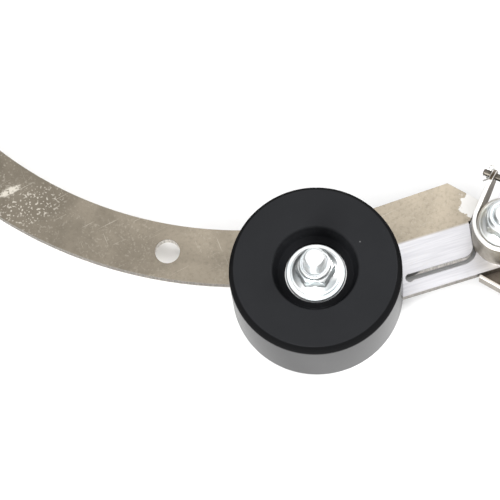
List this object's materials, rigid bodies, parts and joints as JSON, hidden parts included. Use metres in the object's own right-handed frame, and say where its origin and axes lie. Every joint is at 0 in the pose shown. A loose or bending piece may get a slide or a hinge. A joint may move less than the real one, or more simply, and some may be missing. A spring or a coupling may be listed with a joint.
{
  "type": "gate wheel",
  "caption": "Black roller wheel on a curved flat steel arm that swings on a channel bracket, with a strap yoke and cross pin round the pivot.",
  "frame": {"origin": "on the arm's pivot axis, at the underside of the hinge bracket", "axes": "+Z along the pivot and the axle, towards their nuts; +X along the longest extent, away from the curved arm's free end"},
  "size_m": [0.3024, 0.114, 0.0714],
  "materials": {
    "zinc_strip": "worn yellowish zinc plate on flat steel, speckled and scratched",
    "black_wheel": "matte black moulded plastic, smooth shiny tread",
    "bright_zinc": "bright bluish zinc plate",
    "bearing_steel": "ground and polished steel",
    "cage_steel": "pressed bright steel",
    "seal_rubber": "dull black rubber",
    "nylon": "translucent bluish nylon",
    "plain_steel": "turned steel, light oil film",
    "bracket_steel": "dull brownish zinc plate, darkened inside",
    "strap_steel": "zinc plated strip with bright worn edges",
    "pin_steel": "dark drawn steel rod",
    "wire": "soft drawn wire"
  },
  "bodies": {
    "bracket": {"hinge_bracket": "bracket_steel", "pivot_stud": "bright_zinc", "arm_spacer_ring": "plain_steel", "pivot_sleeve": "plain_steel", "yoke_bush": "plain_steel", "pivot_nut": "bright_zinc", "pivot_nut_insert": "nylon"},
    "arm": {"arm_plate": "zinc_strip", "axle_bolt": "bright_zinc", "head_washer": "bright_zinc", "hub_spacer": "plain_steel", "rear_inner_race": "bearing_steel", "bearing_spacer": "plain_steel", "front_inner_race": "bearing_steel", "front_washer": "bright_zinc", "axle_nut": "bright_zinc", "axle_nut_insert": "nylon"},
    "wheel": {"wheel_body": "black_wheel", "rear_outer_race": "bearing_steel", "rear_seals": "seal_rubber", "front_outer_race": "bearing_steel", "front_seals": "seal_rubber"},
    "rear_cage": {"rear_ball_cage": "cage_steel", "rear_balls": "bearing_steel"},
    "front_cage": {"front_ball_cage": "cage_steel", "front_balls": "bearing_steel"},
    "yoke": {"yoke_strap": "strap_steel"},
    "cross_pin": {"clevis_pin": "pin_steel", "split_pin": "wire"}
  },
  "joints": [
    {"name": "arm_swing", "type": "hinge", "parent": "bracket", "child": "arm", "pos_m": [0, 0, 0], "axis": [0, 0, 1], "range_deg": [-55, 0]},
    {"name": "wheel_spin", "type": "hinge", "parent": "arm", "child": "wheel", "pos_m": [-0.08151, -0.0278, 0], "axis": [0, 0, 1], "continuous": true},
    {"name": "rear_cage_spin", "type": "hinge", "parent": "arm", "child": "rear_cage", "pos_m": [-0.08151, -0.0278, 0], "axis": [0, 0, 1], "continuous": true},
    {"name": "front_cage_spin", "type": "hinge", "parent": "arm", "child": "front_cage", "pos_m": [-0.08151, -0.0278, 0], "axis": [0, 0, 1], "continuous": true},
    {"name": "yoke_swing", "type": "hinge", "parent": "bracket", "child": "yoke", "pos_m": [0, 0, 0], "axis": [0, 0, 1], "continuous": true},
    {"name": "cross_pin_turn", "type": "hinge", "parent": "yoke", "child": "cross_pin", "pos_m": [0.00817, 0.01924, 0.018], "axis": [0.9205, -0.3907, 0], "continuous": true}
  ],
  "couplings": [
    {"joint": "rear_cage_spin", "follows": "wheel_spin", "ratio": 0.619},
    {"joint": "front_cage_spin", "follows": "wheel_spin", "ratio": 0.619}
  ]
}
